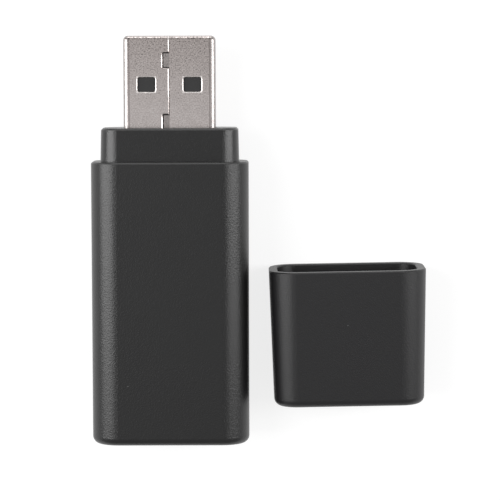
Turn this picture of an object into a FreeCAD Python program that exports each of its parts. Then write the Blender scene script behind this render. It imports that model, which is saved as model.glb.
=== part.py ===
import FreeCAD, Part
import math
import os
import re
import Sketcher

# Pocket wireless adapter with a flat data plug, in millimetres.
# The adapter lies on its rear cover, and its pull-off cap lies beside it on one tapered wall.
# Origin: centre of the rear face, on the surface that it lies on. +Y runs along the plug,
# +X to the right of it, +Z up through the front face.
# Each piece is drawn upright in its own frame, tail down at z = 0 with its front towards -y,
# and is then laid down by its placement.

SIZES = {
    # Housing: an upright box with round corners and a narrower neck, split at y = 0
    "body_width": 20.6,
    "body_depth": 11.0,
    "body_height": 37.0,
    "corner_radius": 3.5,
    "tail_radius": 1.0,
    "shoulder_ledge": 1.25,
    "shoulder_bevel": 0.2,
    "neck_height": 4.4,
    "neck_draft": 1.3,
    "neck_bevel": 0.25,
    "wall": 1.2,
    "parting_chamfer": 0.08,
    # Ridge on the front cover's edge and the groove that takes it
    "ridge_setback": 0.45,
    "ridge_thickness": 0.4,
    "ridge_height": 0.5,
    "ridge_fit": 0.05,
    # Posts that hold the board between the covers
    "post_radius": 1.5,
    "pin_radius": 0.6,
    "pin_reach": 1.2,
    "pin_fit": 0.1,
    # Snap arms of the rear cover and the recesses that they catch in
    "arm_thickness": 0.7,
    "arm_width": 3.0,
    "arm_gap": 0.25,
    "arm_reach": 2.0,
    "arm_root": 1.9,
    "barb_height": 0.2,
    "barb_length": 0.7,
    "catch_fit": 0.15,
    # Metal shell of the plug, folded from one sheet with its seam at the front
    "shell_width": 12.0,
    "shell_depth": 4.5,
    "shell_sheet": 0.3,
    "shell_corner": 0.6,
    "shell_length": 18.75,
    "plug_reach": 12.0,
    "plug_fit": 0.05,
    "window_width": 2.3,
    "window_height": 1.9,
    "window_corner": 0.3,
    "window_spacing": 6.0,
    "window_setback": 5.4,
    "seam_gap": 0.08,
    "notch_width": 0.85,
    "notch_height": 2.0,
    "notch_corner": 0.15,
    "upper_notch_setback": 2.2,
    "lower_notch_setback": 10.25,
    "tab_recess": 0.12,
    "tab_gap": 0.06,
    "edge_bevel": 0.14,
    "leg_width": 1.8,
    "leg_length": 2.2,
    # Insulator inside the plug and its four contact strips
    "insulator_fit": 0.03,
    "block_setback": 9.2,
    "tongue_setback": 1.0,
    "tongue_drop": 0.05,
    "contact_width": 1.0,
    "contact_thickness": 0.25,
    "contact_proud": 0.05,
    "contact_bevel": 0.12,
    "outer_contact_place": 3.5,
    "inner_contact_place": 1.0,
    "outer_contact_setback": 1.2,
    "inner_contact_setback": 2.2,
    "foot_length": 2.0,
    "foot_bend": 0.45,
    # Circuit board
    "board_side_gap": 0.55,
    "board_thickness": 1.0,
    "board_inset": 0.45,
    "board_clearance": 1.0,
    "board_neck_height": 2.5,
    "board_corner": 0.6,
    "leg_fit": 0.05,
    "joint_gap": 0.15,
    # Parts on the board
    "antenna_strip": 0.5,
    "antenna_height": 3.4,
    "antenna_pitch": 1.8,
    "antenna_copper": 0.07,
    "radio_side": 5.0,
    "radio_thickness": 0.85,
    "radio_pad_width": 0.25,
    "radio_pad_pitch": 0.5,
    "radio_pad_proud": 0.05,
    "memory_length": 4.9,
    "memory_width": 3.9,
    "memory_thickness": 1.5,
    "memory_span": 6.0,
    "memory_pitch": 1.27,
    "regulator_length": 2.9,
    "regulator_width": 1.6,
    "regulator_thickness": 1.1,
    "regulator_span": 2.8,
    "regulator_pitch": 0.95,
    "diode_length": 2.0,
    "diode_width": 1.25,
    "diode_thickness": 0.9,
    "diode_span": 2.2,
    "diode_pitch": 0.65,
    "lead_width": 0.35,
    "lead_thickness": 0.18,
    "crystal_length": 3.2,
    "crystal_width": 2.5,
    "crystal_thickness": 0.8,
    "crystal_rim": 0.25,
    "bulk_length": 3.5,
    "bulk_width": 2.8,
    "bulk_thickness": 1.9,
    "bead_length": 2.0,
    "bead_width": 1.25,
    "bead_thickness": 0.9,
    "chip_length": 1.6,
    "chip_width": 0.8,
    "chip_thickness": 0.5,
    "capacitor_pitch": 1.3,
    "resistor_pitch": 1.1,
    "terminal_length": 0.3,
    "terminal_proud": 0.03,
    # Cap: slides over the neck and ends flush with the housing
    "cap_height": 17.87,
    "cap_draft": 1.42,
    "cap_end_wall": 1.1,
    "cap_end_radius": 1.0,
    "cap_fit": 0.12,
    "cap_lip_bevel": 0.15,
    "cap_gap": 2.88,
    "cap_ahead": 5.05,
    "cap_yaw": 0.9,
}

# Heights and depths that several pieces share
NECK_TOP = "(body_height + neck_height)"
PLUG_TIP = "(body_height + neck_height + plug_reach)"
SHELL_BACK = "(body_height + neck_height + plug_reach - shell_length)"
INNER_WIDTH = "(body_width - 2 * wall)"
INNER_DEPTH = "(body_depth - 2 * wall)"
BOARD_WIDTH = f"({INNER_WIDTH} - 2 * (arm_gap + arm_thickness + board_side_gap))"
BOARD_BOTTOM = "(wall + board_clearance)"
BOARD_TOP = f"({SHELL_BACK} - joint_gap)"
BOARD_SHOULDER = f"({BOARD_TOP} - board_neck_height)"
BOARD_FRONT = "(board_inset + board_thickness)"
OUTER_COLUMN = f"({BOARD_WIDTH} / 3.3)"
CHIP_COLUMN = f"({BOARD_WIDTH} / 2.8)"
TONGUE_TOP = f"({PLUG_TIP} - tongue_setback)"
CONTACT_FACE = "(contact_proud - tongue_drop)"

# Rows on the board, in fifths of its length from the tail end
BOARD_ROWS = 5
ANTENNA_ROW = 0.42
TAIL_POST_ROW = 1.1
RESISTOR_ROW = 1.15
RADIO_ROW = 2.0
MEMORY_ROW = 3.05
PLUG_POST_ROW = 4.05
BEAD_ROW = 4.75

ANTENNA_STRIP_COUNT = 7
RADIO_PAD_COUNT = 8
MEMORY_LEAD_COUNT = 4
REGULATOR_LEAD_COUNT = 3
DIODE_LEAD_COUNT = 3
CAPACITOR_COUNT = 4
RESISTOR_COUNT = 3

NEAR = 0.001

doc = FreeCAD.newDocument("wireless_adapter")
sheet = doc.addObject("Spreadsheet::Sheet", "Sizes")
for row, (alias, value) in enumerate(SIZES.items(), start=1):
    sheet.set(f"A{row}", alias)
    sheet.set(f"B{row}", str(value))
    sheet.setAlias(f"B{row}", alias)
doc.recompute()


def bound(expression):
    """Point the size names in an expression at their cells in the sheet."""
    def cell(match):
        word = match.group(0)
        return f"Sizes.{word}" if word in SIZES else word
    return re.sub(r"[a-z]\w*", cell, str(expression))


def number(expression):
    """Value of an expression of sizes, in millimetres or degrees."""
    return float(sheet.evalExpression(bound(expression)))


def board_row(share):
    """Height of a row on the board, counted in fifths of its length."""
    return f"({BOARD_BOTTOM} + ({BOARD_SHOULDER} - {BOARD_BOTTOM}) * {share} / {BOARD_ROWS})"


def new_body(label):
    body = doc.addObject("PartDesign::Body", label)
    body.Label = label
    return body


def lay(body, across, along, above, turn="0", tilt="-90"):
    """Place an upright piece: tilt it about X, turn it about Z and move its own origin."""
    place = f"vector({across}; {along}; {above})"
    body.setExpression("Placement", bound(f"placement({place}; rotation({turn}; 0; {tilt}))"))


def lay_with_housing(body):
    """Lay a piece down on the rear cover, with the middle of the housing at the origin."""
    lay(body, "0", "-body_height / 2", "body_depth / 2")


def origin_feature(body, role):
    return next(item for item in body.Origin.OriginFeatures if item.Role == role)


def sketch_on(body, role, name, offset="0"):
    """Sketch on one of the body's own origin planes, or at an offset from it."""
    sketch = body.newObject("Sketcher::SketchObject", name)
    sketch.AttachmentSupport = [(origin_feature(body, role), "")]
    sketch.MapMode = "FlatFace"
    sketch.setExpression("AttachmentOffset.Base.z", bound(offset))
    return sketch


def constrain(sketch, relations, dimensions):
    """Add relations, then dimensions whose values follow their expressions.

    A relation is a kind and its ends, and a dimension is a kind, its ends and an expression.
    """
    first = sketch.ConstraintCount + len(relations)
    sketch.addConstraint(
        [Sketcher.Constraint(kind, *ends) for kind, ends in relations]
        + [Sketcher.Constraint(kind, *ends, number(value)) for kind, ends, value in dimensions]
    )
    for index, (_, _, value) in enumerate(dimensions, start=first):
        sketch.setExpression(f"Constraints[{index}]", bound(value))


def polygon(sketch, corners):
    """Closed outline of straight lines through corners given as pairs of expressions."""
    points = [FreeCAD.Vector(number(x), number(y), 0) for x, y in corners]
    first = sketch.GeometryCount
    count = len(points)
    sketch.addGeometry([Part.LineSegment(points[i], points[(i + 1) % count]) for i in range(count)])
    joints = [("Coincident", (first + i, 2, first + (i + 1) % count, 1)) for i in range(count)]
    places = []
    for i, (x, y) in enumerate(corners):
        places.append(("DistanceX", (-1, 1, first + i, 1), x))
        places.append(("DistanceY", (-1, 1, first + i, 1), y))
    constrain(sketch, joints, places)


def rectangle(sketch, left, right, bottom, top):
    polygon(sketch, [(left, bottom), (right, bottom), (right, top), (left, top)])


def rounded_rectangle(sketch, width, height, radius, x="0", y="0"):
    """Rectangle about (x, y) whose four corners are tangent arcs of one radius."""
    left, right = (number(f"{x} + {side} * ({width}) / 2") for side in (-1, 1))
    low, high = (number(f"{y} + {side} * ({height}) / 2") for side in (-1, 1))
    r = number(radius)
    first = sketch.GeometryCount
    runs = [
        ((left + r, low), (right - r, low)),
        ((right, low + r), (right, high - r)),
        ((right - r, high), (left + r, high)),
        ((left, high - r), (left, low + r)),
    ]
    near, far, lower, upper = left + r, right - r, low + r, high - r
    centres = [(far, lower), (far, upper), (near, upper), (near, lower)]
    upward = FreeCAD.Vector(0, 0, 1)
    for quarter, ((start, end), centre) in enumerate(zip(runs, centres)):
        sketch.addGeometry(Part.LineSegment(FreeCAD.Vector(*start, 0), FreeCAD.Vector(*end, 0)))
        bend = Part.Circle(FreeCAD.Vector(*centre, 0), upward, r)
        start_angle, end_angle = (math.pi / 2 * turn for turn in (quarter - 1, quarter))
        sketch.addGeometry(Part.ArcOfCircle(bend, start_angle, end_angle))
    relations = [("Tangent", (first + i, 2, first + (i + 1) % 8, 1)) for i in range(8)]
    relations += [("Horizontal", (line,)) for line in (first, first + 4)]
    relations += [("Vertical", (line,)) for line in (first + 2, first + 6)]
    relations += [("Equal", (first + 1, arc)) for arc in (first + 3, first + 5, first + 7)]
    constrain(sketch, relations, [
        ("Radius", (first + 1,), radius),
        ("DistanceX", (first + 6, 1, first + 2, 1), width),
        ("DistanceY", (first, 1, first + 4, 1), height),
        ("DistanceX", (-1, 1, first + 6, 1), f"{x} - ({width}) / 2"),
        ("DistanceY", (-1, 1, first, 1), f"{y} - ({height}) / 2"),
    ])


def circle(sketch, x, y, radius):
    centre = FreeCAD.Vector(number(x), number(y), 0)
    ring = Part.Circle(centre, FreeCAD.Vector(0, 0, 1), number(radius))
    index = sketch.addGeometry(ring)
    constrain(sketch, [], [
        ("Radius", (index,), radius),
        ("DistanceX", (-1, 1, index, 3), x),
        ("DistanceY", (-1, 1, index, 3), y),
    ])


def extrusion(kind, body, sketch, length, reverse, middle, taper):
    feature = body.newObject(f"PartDesign::{kind}", f"{sketch.Name}_{kind.lower()}")
    feature.Profile = sketch
    feature.setExpression("Length", bound(length))
    feature.setExpression("TaperAngle", bound(taper))
    feature.SideType = "Symmetric" if middle else "One side"
    feature.Reversed = reverse
    doc.recompute()
    return feature


def pad(body, sketch, length, reverse=False, middle=False, taper="0"):
    """Extrude a sketch along its normal, or against it when reversed."""
    return extrusion("Pad", body, sketch, length, reverse, middle, taper)


def pocket(body, sketch, length, reverse=False, middle=False, taper="0"):
    """Cut a sketch against its normal, or along it when reversed."""
    before = body.Shape.Volume
    feature = extrusion("Pocket", body, sketch, length, reverse, middle, taper)
    if body.Shape.Volume > before - NEAR ** 2:
        raise RuntimeError(f"{feature.Name} cuts nothing")
    return feature


def spans(edge):
    """Lowest and highest x, y and z of an edge."""
    box = edge.BoundBox
    return (box.XMin, box.XMax), (box.YMin, box.YMax), (box.ZMin, box.ZMax)


def flat_at(span, place):
    return abs(span[0] - place) < NEAR and abs(span[1] - place) < NEAR


def edge_treatment(kind, body, size, chosen):
    """Fillet or chamfer the edges of the body's last feature that pass a test."""
    base = body.Tip
    names = [f"Edge{i}" for i, edge in enumerate(base.Shape.Edges, start=1) if chosen(*spans(edge))]
    feature = body.newObject(f"PartDesign::{kind}", f"{body.Name}_{kind.lower()}")
    feature.Base = (base, names)
    feature.setExpression("Radius" if kind == "Fillet" else "Size", bound(size))
    doc.recompute()
    return feature


def fillet(body, radius, chosen):
    return edge_treatment("Fillet", body, radius, chosen)


def chamfer(body, size, chosen):
    return edge_treatment("Chamfer", body, size, chosen)


def repeat(body, originals, axis_role, length, count):
    """Row of copies of some features along an origin axis."""
    feature = body.newObject("PartDesign::LinearPattern", f"{body.Name}_row")
    feature.Originals = originals
    feature.Direction = (origin_feature(body, axis_role), [""])
    feature.setExpression("Length", bound(length))
    feature.Occurrences = count
    body.Tip = feature
    doc.recompute()
    return feature


def mirror(body, originals, plane_role):
    """Mirror image of some features across an origin plane."""
    feature = body.newObject("PartDesign::Mirrored", f"{body.Name}_mirror")
    feature.Originals = originals
    feature.MirrorPlane = (origin_feature(body, plane_role), [""])
    body.Tip = feature
    doc.recompute()
    return feature


# Housing

def housing_blank(body):
    """Hollow housing in one piece, before it is split into its two covers."""
    outline = sketch_on(body, "XY_Plane", "body_outline")
    rounded_rectangle(outline, "body_width", "body_depth", "corner_radius")
    pad(body, outline, "body_height")
    fillet(body, "tail_radius", lambda x, y, z: flat_at(z, 0))
    shoulder = number("body_height")
    chamfer(body, "shoulder_bevel", lambda x, y, z: flat_at(z, shoulder))

    neck = sketch_on(body, "XY_Plane", "neck_outline", "body_height")
    rounded_rectangle(
        neck,
        "body_width - 2 * shoulder_ledge",
        "body_depth - 2 * shoulder_ledge",
        "corner_radius - shoulder_ledge",
    )
    pad(body, neck, "neck_height", taper="-neck_draft")
    neck_top = number(NECK_TOP)
    chamfer(body, "neck_bevel", lambda x, y, z: flat_at(z, neck_top))

    cavity = sketch_on(body, "XY_Plane", "cavity_outline", "wall")
    rounded_rectangle(cavity, INNER_WIDTH, INNER_DEPTH, "corner_radius - wall")
    pocket(body, cavity, "body_height - 2 * wall", reverse=True)
    neck_cavity = sketch_on(body, "XY_Plane", "neck_cavity_outline", "body_height")
    rounded_rectangle(
        neck_cavity,
        f"{INNER_WIDTH} - 2 * shoulder_ledge",
        f"{INNER_DEPTH} - 2 * shoulder_ledge",
        "corner_radius - shoulder_ledge - wall",
    )
    pocket(body, neck_cavity, "neck_height - wall", reverse=True)
    passage = sketch_on(body, "XY_Plane", "plug_passage", "body_height - 2 * wall")
    rounded_rectangle(
        passage, "shell_width + 2 * plug_fit", "shell_depth + 2 * plug_fit", "shell_corner + plug_fit"
    )
    pocket(body, passage, "neck_height + 2 * wall", reverse=True)


def keep_half(body, front):
    """Cut the housing at y = 0 and chamfer the outer edge that this leaves."""
    half = sketch_on(body, "XZ_Plane", "removed_half")
    rectangle(half, "-body_width", "body_width", "-body_depth", f"{NECK_TOP} + body_depth")
    pocket(body, half, "body_depth", reverse=not front)
    side = number("body_width / 2")

    def outer_long_edge(x, y, z):
        return flat_at(y, 0) and (flat_at(x, side) or flat_at(x, -side) or flat_at(z, 0))

    chamfer(body, "parting_chamfer", outer_long_edge)


def edge_band(sketch, fit):
    """Band that follows the tail and both sides inside the housing wall."""
    outer = f"(body_width / 2 - ridge_setback + {fit})"
    inner = f"(body_width / 2 - ridge_setback - ridge_thickness - {fit})"
    low = f"(ridge_setback - {fit})"
    high = f"(ridge_setback + ridge_thickness + {fit})"
    top = f"(body_height - 2 * wall + {fit})"
    polygon(sketch, [
        (f"-{outer}", top), (f"-{outer}", low), (outer, low), (outer, top),
        (inner, top), (inner, high), (f"-{inner}", high), (f"-{inner}", top),
    ])


def round_band_corners(body, fit, depth_span):
    """Round the band's two outer tail corners along with the tail itself."""
    corner = number(f"body_width / 2 - ridge_setback + {fit}")
    low = number(f"ridge_setback - {fit}")

    def band_corner(x, y, z):
        along_depth = depth_span[0] - NEAR < y[0] and y[1] < depth_span[1] + NEAR
        at_corner = flat_at(x, corner) or flat_at(x, -corner)
        return along_depth and at_corner and flat_at(z, low)

    fillet(body, f"tail_radius - ridge_setback + {fit}", band_corner)


def post_rows():
    return [board_row(TAIL_POST_ROW), board_row(PLUG_POST_ROW)]


def arm_rows():
    return [board_row(RADIO_ROW), board_row(PLUG_POST_ROW)]


def front_cover():
    body = new_body("front_cover")
    housing_blank(body)
    keep_half(body, front=True)

    ridge = sketch_on(body, "XZ_Plane", "ridge_band")
    edge_band(ridge, "0")
    pad(body, ridge, "ridge_height", reverse=True)
    round_band_corners(body, "0", (0, number("ridge_height")))

    posts = sketch_on(body, "XZ_Plane", "front_posts", BOARD_FRONT)
    for level in post_rows():
        circle(posts, "0", level, "post_radius")
    pad(body, posts, f"(body_depth - wall) / 2 - {BOARD_FRONT}")
    pins = sketch_on(body, "XZ_Plane", "front_pins", BOARD_FRONT)
    for level in post_rows():
        circle(pins, "0", level, "pin_radius")
    pad(body, pins, "board_thickness + pin_reach", reverse=True)

    catches = sketch_on(body, "YZ_Plane", "catch_outline", f"{INNER_WIDTH} / 2 - wall / 2")
    for level in arm_rows():
        half_width = "(arm_width / 2 + catch_fit)"
        rectangle(
            catches,
            "-arm_reach - catch_fit",
            "barb_length + catch_fit - arm_reach",
            f"{level} - {half_width}",
            f"{level} + {half_width}",
        )
    cut = pocket(body, catches, "wall / 2 + barb_height + catch_fit", reverse=True)
    mirror(body, [cut], "YZ_Plane")
    lay_with_housing(body)
    return body


def rear_cover():
    body = new_body("rear_cover")
    housing_blank(body)
    keep_half(body, front=False)

    groove = sketch_on(body, "XZ_Plane", "groove_band")
    edge_band(groove, "ridge_fit")
    pocket(body, groove, "ridge_height + 2 * ridge_fit")

    posts = sketch_on(body, "XZ_Plane", "rear_posts", "board_inset")
    for level in post_rows():
        circle(posts, "0", level, "post_radius")
    pad(body, posts, "(body_depth - wall) / 2 + board_inset", reverse=True)
    sockets = sketch_on(body, "XZ_Plane", "pin_sockets", "board_inset")
    for level in post_rows():
        circle(sockets, "0", level, "pin_radius + pin_fit")
    pocket(body, sockets, "pin_reach + 2 * pin_fit")

    inner = f"({INNER_WIDTH} / 2)"
    arm_outside = f"({inner} - arm_gap)"
    arm_inside = f"({inner} - arm_gap - arm_thickness)"
    barb = f"({inner} + barb_height)"
    arms = []
    for level in arm_rows():
        arm = sketch_on(body, "XY_Plane", "snap_arm", f"{level} - arm_width / 2")
        polygon(arm, [
            (arm_inside, "arm_root"), (arm_inside, "-arm_reach"),
            (f"{arm_outside} - barb_height", "-arm_reach"),
            (barb, "barb_length / 2 - arm_reach"), (barb, "barb_length - arm_reach"),
            (arm_outside, "barb_length - arm_reach"), (arm_outside, "arm_root / 3"),
            (barb, "arm_root / 3"), (barb, "arm_root"),
        ])
        arms.append(pad(body, arm, "arm_width"))
    mirror(body, arms, "YZ_Plane")
    lay_with_housing(body)
    return body


def cap():
    """Tapered pull-off cap, lying on its rear wall with its mouth towards the plug's end."""
    body = new_body("cap")
    outline = sketch_on(body, "XY_Plane", "cap_outline", "cap_height")
    rounded_rectangle(outline, "body_width", "body_depth", "corner_radius")
    pad(body, outline, "cap_height", reverse=True, taper="-cap_draft")
    fillet(body, "cap_end_radius", lambda x, y, z: flat_at(z, 0))

    wall_at_mouth = "(shoulder_ledge - cap_fit)"
    cavity = sketch_on(body, "XY_Plane", "cap_cavity", "cap_height")
    rounded_rectangle(
        cavity,
        f"body_width - 2 * {wall_at_mouth}",
        f"body_depth - 2 * {wall_at_mouth}",
        f"corner_radius - {wall_at_mouth}",
    )
    pocket(body, cavity, "cap_height - cap_end_wall", taper="-cap_draft")
    mouth = number("cap_height")
    chamfer(body, "cap_lip_bevel", lambda x, y, z: flat_at(z, mouth))

    end_half_depth = "(body_depth / 2 - cap_height * tan(cap_draft))"
    lay(
        body,
        "body_width + cap_gap",
        "cap_ahead - body_height / 2",
        f"{end_half_depth} * cos(cap_draft)",
        turn="cap_yaw",
        tilt="cap_draft - 90",
    )
    return body


# Plug

def notch_spans():
    """Lowest and highest z of the two notches beside the seam."""
    return [
        (f"({PLUG_TIP} - {setback} - notch_height)", f"({PLUG_TIP} - {setback})")
        for setback in ("upper_notch_setback", "lower_notch_setback")
    ]


def usb_shell():
    """Folded shell with four windows, a front seam with two notches, and solder legs."""
    body = new_body("usb_shell")
    outline = sketch_on(body, "XY_Plane", "shell_outline", SHELL_BACK)
    rounded_rectangle(outline, "shell_width", "shell_depth", "shell_corner")
    pad(body, outline, "shell_length")
    bore = sketch_on(body, "XY_Plane", "shell_bore", SHELL_BACK)
    rounded_rectangle(
        bore,
        "shell_width - 2 * shell_sheet",
        "shell_depth - 2 * shell_sheet",
        "shell_corner - shell_sheet",
    )
    pocket(body, bore, "shell_length", reverse=True)

    windows = sketch_on(body, "XZ_Plane", "shell_windows")
    window_centre = f"({PLUG_TIP} - window_setback - window_height / 2)"
    for side in (-1, 1):
        rounded_rectangle(
            windows,
            "window_width",
            "window_height",
            "window_corner",
            x=f"({side} * window_spacing / 2)",
            y=window_centre,
        )
    pocket(body, windows, "2 * shell_depth", middle=True)

    seam = sketch_on(body, "XZ_Plane", "shell_seam")
    left = "-seam_gap / 2 - notch_width"
    edge = "-seam_gap / 2"
    (upper_low, upper_high), (lower_low, lower_high) = notch_spans()
    polygon(seam, [
        ("seam_gap / 2", f"{SHELL_BACK} - shell_sheet"), ("seam_gap / 2", f"{PLUG_TIP} + shell_sheet"),
        (edge, f"{PLUG_TIP} + shell_sheet"), (edge, upper_high), (left, upper_high),
        (left, upper_low), (edge, upper_low), (edge, lower_high), (left, lower_high),
        (left, lower_low), (edge, lower_low), (edge, f"{SHELL_BACK} - shell_sheet"),
    ])
    pocket(body, seam, "shell_depth", reverse=True)

    front = number("-shell_depth / 2")
    inside = number("shell_sheet - shell_depth / 2")
    half_width = number("shell_width / 2")
    tip = number(PLUG_TIP)
    notch_left = number(left)
    seam_left = number(edge)
    notch_heights = [number(level) for span in notch_spans() for level in span]

    def in_seam(x):
        return notch_left - NEAR < x[0] and x[1] < seam_left + NEAR

    def notch_corner(x, y, z):
        through_sheet = abs(y[0] - front) < NEAR and abs(y[1] - inside) < NEAR
        return through_sheet and in_seam(x) and any(flat_at(z, level) for level in notch_heights)

    fillet(body, "notch_corner", notch_corner)

    window_low = number(f"{window_centre} - window_height / 2")
    window_high = number(f"{window_centre} + window_height / 2")
    window_left = number("(window_spacing - window_width) / 2")

    def bevelled_edge(x, y, z):
        on_face = flat_at(y, front) or flat_at(y, -front)
        beside_window = window_low - NEAR < z[0] and z[1] < window_high + NEAR
        of_window = on_face and beside_window and min(abs(x[0]), abs(x[1])) > window_left - NEAR
        of_seam = flat_at(y, front) and in_seam(x) and z[1] < tip + NEAR
        reaches_outside = max(abs(x[0]), abs(x[1])) > half_width - NEAR or y[0] < front + NEAR
        of_rim = flat_at(z, tip) and (reaches_outside or y[1] > NEAR - front - 2 * NEAR)
        return (of_window and x[1] - x[0] < number("window_width") + NEAR) or of_seam or of_rim

    chamfer(body, "edge_bevel", bevelled_edge)

    tabs = sketch_on(body, "XZ_Plane", "seam_tabs", "shell_depth / 2 - shell_sheet")
    for low, high in notch_spans():
        rectangle(
            tabs,
            f"{left} + tab_gap",
            "seam_gap / 2 + shell_sheet / 2",
            f"{low} + tab_gap",
            f"{high} - tab_gap",
        )
    pad(body, tabs, "shell_sheet - tab_recess")

    legs = sketch_on(body, "XY_Plane", "solder_legs", f"{SHELL_BACK} - leg_length")
    leg_front = f"-({BOARD_FRONT} - board_thickness / 2 + leg_width / 2)"
    leg_rear = f"-({BOARD_FRONT} - board_thickness / 2 - leg_width / 2)"
    rectangle(legs, "shell_width / 2 - shell_sheet", "shell_width / 2", leg_front, leg_rear)
    rectangle(legs, "-shell_width / 2", "shell_sheet - shell_width / 2", leg_front, leg_rear)
    pad(body, legs, "leg_length + shell_corner")
    lay_with_housing(body)
    return body


def contact_slots(body, name, place, top):
    """Slots for one pair of contacts, from the insulator's back to above their ends."""
    slots = sketch_on(body, "XY_Plane", name, SHELL_BACK)
    half_width = "(contact_width / 2 + insulator_fit)"
    for side in (-1, 1):
        rectangle(
            slots,
            f"{side} * {place} - {half_width}",
            f"{side} * {place} + {half_width}",
            f"{CONTACT_FACE} - contact_thickness - insulator_fit",
            f"{CONTACT_FACE} + insulator_fit",
        )
    pocket(body, slots, f"{top} + insulator_fit - {SHELL_BACK}", reverse=True)


def contact_top(setback):
    return f"({TONGUE_TOP} - {setback})"


def usb_insulator():
    """Block at the back of the plug and the tongue that carries the contacts."""
    body = new_body("usb_insulator")
    width = "(shell_width - 2 * shell_sheet - 2 * insulator_fit)"
    depth = "(shell_depth - 2 * shell_sheet - 2 * insulator_fit)"
    block = sketch_on(body, "XY_Plane", "insulator_block", SHELL_BACK)
    rounded_rectangle(block, width, depth, "shell_corner - shell_sheet - insulator_fit")
    pad(body, block, f"{PLUG_TIP} - block_setback - {SHELL_BACK}")
    tongue = sketch_on(body, "XY_Plane", "insulator_tongue", SHELL_BACK)
    rectangle(
        tongue,
        f"-{width} / 2 + shell_corner - shell_sheet",
        f"{width} / 2 - shell_corner + shell_sheet",
        f"-{depth} / 2",
        "-tongue_drop",
    )
    pad(body, tongue, f"{TONGUE_TOP} - {SHELL_BACK}")
    contact_slots(body, "outer_slots", "outer_contact_place", contact_top("outer_contact_setback"))
    contact_slots(body, "inner_slots", "inner_contact_place", contact_top("inner_contact_setback"))

    tongue_top = number(TONGUE_TOP)
    chamfer(body, "contact_bevel", lambda x, y, z: flat_at(z, tongue_top) and y[1] - y[0] < NEAR)
    lay_with_housing(body)
    return body


def usb_contact(label, place, setback):
    """Flat strip in its slot, stepped down behind the plug to a foot on the board."""
    body = new_body(label)
    profile = sketch_on(body, "YZ_Plane", f"{label}_profile", f"{place} - contact_width / 2")
    top = contact_top(setback)
    back = f"({CONTACT_FACE} - contact_thickness)"
    foot_end = f"({BOARD_TOP} - foot_length)"
    bend_start = f"({SHELL_BACK} - insulator_fit)"
    bend_end = f"({SHELL_BACK} - foot_bend)"
    polygon(profile, [
        (back, top), (f"{CONTACT_FACE} - contact_bevel", top), (CONTACT_FACE, f"{top} - contact_bevel"),
        (CONTACT_FACE, bend_start), ("contact_thickness - board_inset", bend_end),
        ("contact_thickness - board_inset", foot_end), ("-board_inset", foot_end),
        ("-board_inset", bend_end), (back, bend_start),
    ])
    pad(body, profile, "contact_width")
    lay_with_housing(body)
    return body


# Board and the parts on it

def circuit_board():
    """Board with a narrow end between the shell's legs and holes for the posts."""
    body = new_body("circuit_board")
    outline = sketch_on(body, "XZ_Plane", "board_outline", "board_inset")
    half_width = f"({BOARD_WIDTH} / 2)"
    half_neck = "(shell_width / 2 - shell_sheet - leg_fit)"
    polygon(outline, [
        (f"-{half_width}", BOARD_BOTTOM), (half_width, BOARD_BOTTOM), (half_width, BOARD_SHOULDER),
        (half_neck, BOARD_SHOULDER), (half_neck, BOARD_TOP), (f"-{half_neck}", BOARD_TOP),
        (f"-{half_neck}", BOARD_SHOULDER), (f"-{half_width}", BOARD_SHOULDER),
    ])
    for level in post_rows():
        circle(outline, "0", level, "pin_radius + pin_fit")
    pad(body, outline, "board_thickness")
    tail_end = number(BOARD_BOTTOM)

    def tail_corner(x, y, z):
        return y[1] - y[0] > NEAR and flat_at(z, tail_end)

    fillet(body, "board_corner", tail_corner)
    lay_with_housing(body)
    return body


def seat_on_board(body, x, level):
    """Turn a part that is drawn lying flat and seat it on the board's rear face."""
    lay(body, x, f"{level} - body_height / 2", "body_depth / 2 + board_inset", tilt="-180")


def antenna_trace():
    """Meander of copper strips on the board's tail end."""
    body = new_body("antenna_trace")
    low = "(-antenna_height / 2)"
    high = "(antenna_height / 2)"
    start = f"(-(antenna_pitch * {ANTENNA_STRIP_COUNT - 1} + antenna_strip) / 2)"
    strip = sketch_on(body, "XY_Plane", "antenna_strip")
    rectangle(strip, start, f"{start} + antenna_strip", low, high)
    strips = repeat(body, [pad(body, strip, "antenna_copper")], "X_Axis",
                    f"antenna_pitch * {ANTENNA_STRIP_COUNT - 1}", ANTENNA_STRIP_COUNT)
    links = (ANTENNA_STRIP_COUNT - 1) // 2
    for first, edge, direction in ((0, low, 1), (1, high, -1)):
        link = sketch_on(body, "XY_Plane", "antenna_link")
        left = f"({start} + antenna_pitch * {first})"
        right = f"{left} + antenna_pitch + antenna_strip"
        ends = [edge, f"{edge} + {direction} * antenna_strip"]
        rectangle(link, left, right, *(ends if direction > 0 else reversed(ends)))
        first_link = pad(body, link, "antenna_copper")
        repeat(body, [first_link], "X_Axis", f"2 * antenna_pitch * {links - 1}", links)
    seat_on_board(body, "0", board_row(ANTENNA_ROW))
    return body


def radio_chip():
    """Square package with a row of contact pads along each side."""
    body = new_body("radio_chip")
    package = sketch_on(body, "XY_Plane", "radio_package")
    rectangle(package, "-radio_side / 2", "radio_side / 2", "-radio_side / 2", "radio_side / 2")
    pad(body, package, "radio_thickness")
    reach = ("-(radio_side / 2 + radio_pad_proud)", "(radio_side / 2 + radio_pad_proud)")
    for direction in ("along", "across"):
        pads = sketch_on(body, "XY_Plane", f"radio_pads_{direction}")
        for i in range(RADIO_PAD_COUNT):
            middle = f"(radio_pad_pitch * {i - (RADIO_PAD_COUNT - 1) / 2})"
            edges = (f"{middle} - radio_pad_width / 2", f"{middle} + radio_pad_width / 2")
            rectangle(pads, *(edges + reach if direction == "along" else reach + edges))
        pad(body, pads, "lead_thickness")
    seat_on_board(body, "0", board_row(RADIO_ROW))
    return body


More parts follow.
